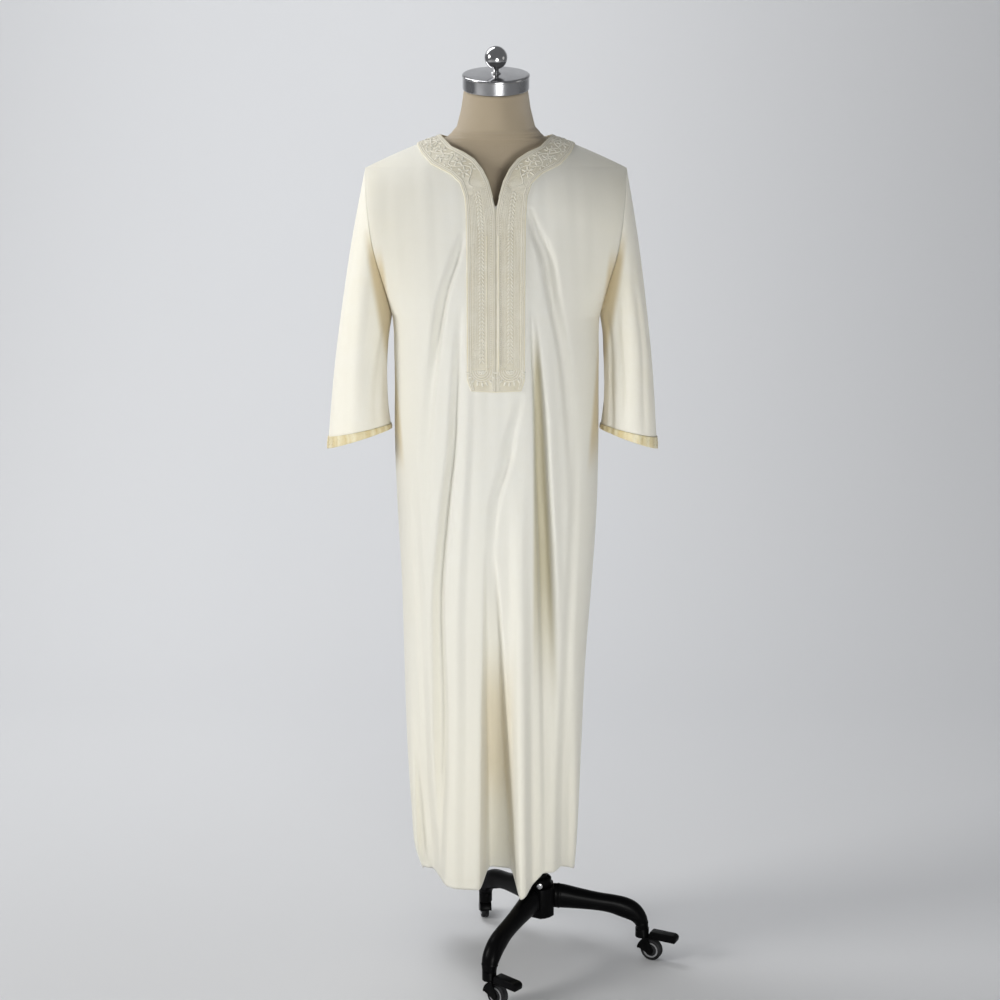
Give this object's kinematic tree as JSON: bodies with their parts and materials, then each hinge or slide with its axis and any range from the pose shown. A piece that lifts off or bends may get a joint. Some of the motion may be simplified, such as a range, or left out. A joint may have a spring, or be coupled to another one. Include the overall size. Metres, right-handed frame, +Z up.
{
  "type": "short-sleeve robe on dress form stand",
  "caption": "Long loose robe with three-quarter sleeves, embroidered neck band and satin cuffs, on a limbless dress form with a three-legged castor base",
  "frame": {"origin": "on the floor, under the middle of the whole part's box", "axes": "+Z up, the robe faces -Y, its right sleeve as seen from the front is at +X"},
  "size_m": [0.6494, 0.4668, 1.6775],
  "materials": {
    "cloth": "matt woven cotton blend, plain weave",
    "embroidery": "tone-on-tone machine embroidery, slight sheen",
    "satin": "glossy satin ribbon",
    "jersey": "stretched knit cover",
    "chrome": "polished plate",
    "enamel": "gloss black enamel",
    "iron": "gloss black enamel on cast iron",
    "rubber": "matt tyre"
  },
  "bodies": {
    "base": {"hub": "iron", "hub_ring": "enamel", "hub_screw": "chrome", "leg_right": "iron", "leg_back": "iron", "leg_front": "iron", "post_tube": "enamel", "post_clamp": "enamel"},
    "form": {"post_rod": "chrome", "form_body": "jersey", "neck_cap": "chrome", "cap_ball": "chrome", "robe_front": "cloth", "robe_back": "cloth", "sleeve_left": "cloth", "sleeve_right": "cloth", "cuff_left": "satin", "cuff_right": "satin", "neck_band_left": "embroidery", "neck_band_right": "embroidery", "neck_band_back": "embroidery", "piping_left": "embroidery", "piping_right": "embroidery", "placket_cord": "embroidery"},
    "screw": {"clamp_screw": "enamel"},
    "fork_right": {"castor_right": "enamel"},
    "roller_right": {"wheel_right": "rubber"},
    "brake_right": {"pedal_right": "enamel"},
    "fork_back": {"castor_back": "enamel"},
    "roller_back": {"wheel_back": "rubber"},
    "brake_back": {"pedal_back": "enamel"},
    "fork_front": {"castor_front": "enamel"},
    "roller_front": {"wheel_front": "rubber"},
    "brake_front": {"pedal_front": "enamel"}
  },
  "joints": [
    {"name": "height_slide", "type": "slide", "parent": "base", "child": "form", "axis": [0, 0, 1], "range_m": [0, 0.2]},
    {"name": "clamp_turn", "type": "hinge", "parent": "base", "child": "screw", "pos_m": [0.0605, 0.017, 0.5692], "axis": [0, 1, 0], "continuous": true},
    {"name": "swivel_right", "type": "hinge", "parent": "base", "child": "fork_right", "pos_m": [0.25642, -0.00043, 0.05], "axis": [0, 0, 1], "continuous": true},
    {"name": "roll_right", "type": "hinge", "parent": "fork_right", "child": "roller_right", "pos_m": [0.27424, -0.00951, 0.0205], "axis": [0.454, 0.891, 0], "continuous": true},
    {"name": "brake_right", "type": "hinge", "parent": "fork_right", "child": "brake_right", "pos_m": [0.27049, -0.00759, 0.04611], "axis": [0.454, 0.891, 0], "range_deg": [0, 12]},
    {"name": "swivel_back", "type": "hinge", "parent": "base", "child": "fork_back", "pos_m": [-0.0422, 0.16104, 0.05], "axis": [0, 0, 1], "continuous": true},
    {"name": "roll_back", "type": "hinge", "parent": "fork_back", "child": "roller_back", "pos_m": [-0.04429, 0.18093, 0.0205], "axis": [-0.9945, -0.1045, 0], "continuous": true},
    {"name": "brake_back", "type": "hinge", "parent": "fork_back", "child": "brake_back", "pos_m": [-0.04385, 0.17674, 0.04611], "axis": [-0.9945, -0.1045, 0], "range_deg": [0, 12]},
    {"name": "swivel_front", "type": "hinge", "parent": "base", "child": "fork_front", "pos_m": [-0.03272, -0.17831, 0.05], "axis": [0, 0, 1], "continuous": true},
    {"name": "roll_front", "type": "hinge", "parent": "fork_front", "child": "roller_front", "pos_m": [-0.01786, -0.19169, 0.0205], "axis": [0.6691, 0.7431, 0], "continuous": true},
    {"name": "brake_front", "type": "hinge", "parent": "fork_front", "child": "brake_front", "pos_m": [-0.02099, -0.18887, 0.04611], "axis": [0.6691, 0.7431, 0], "range_deg": [0, 12]}
  ]
}
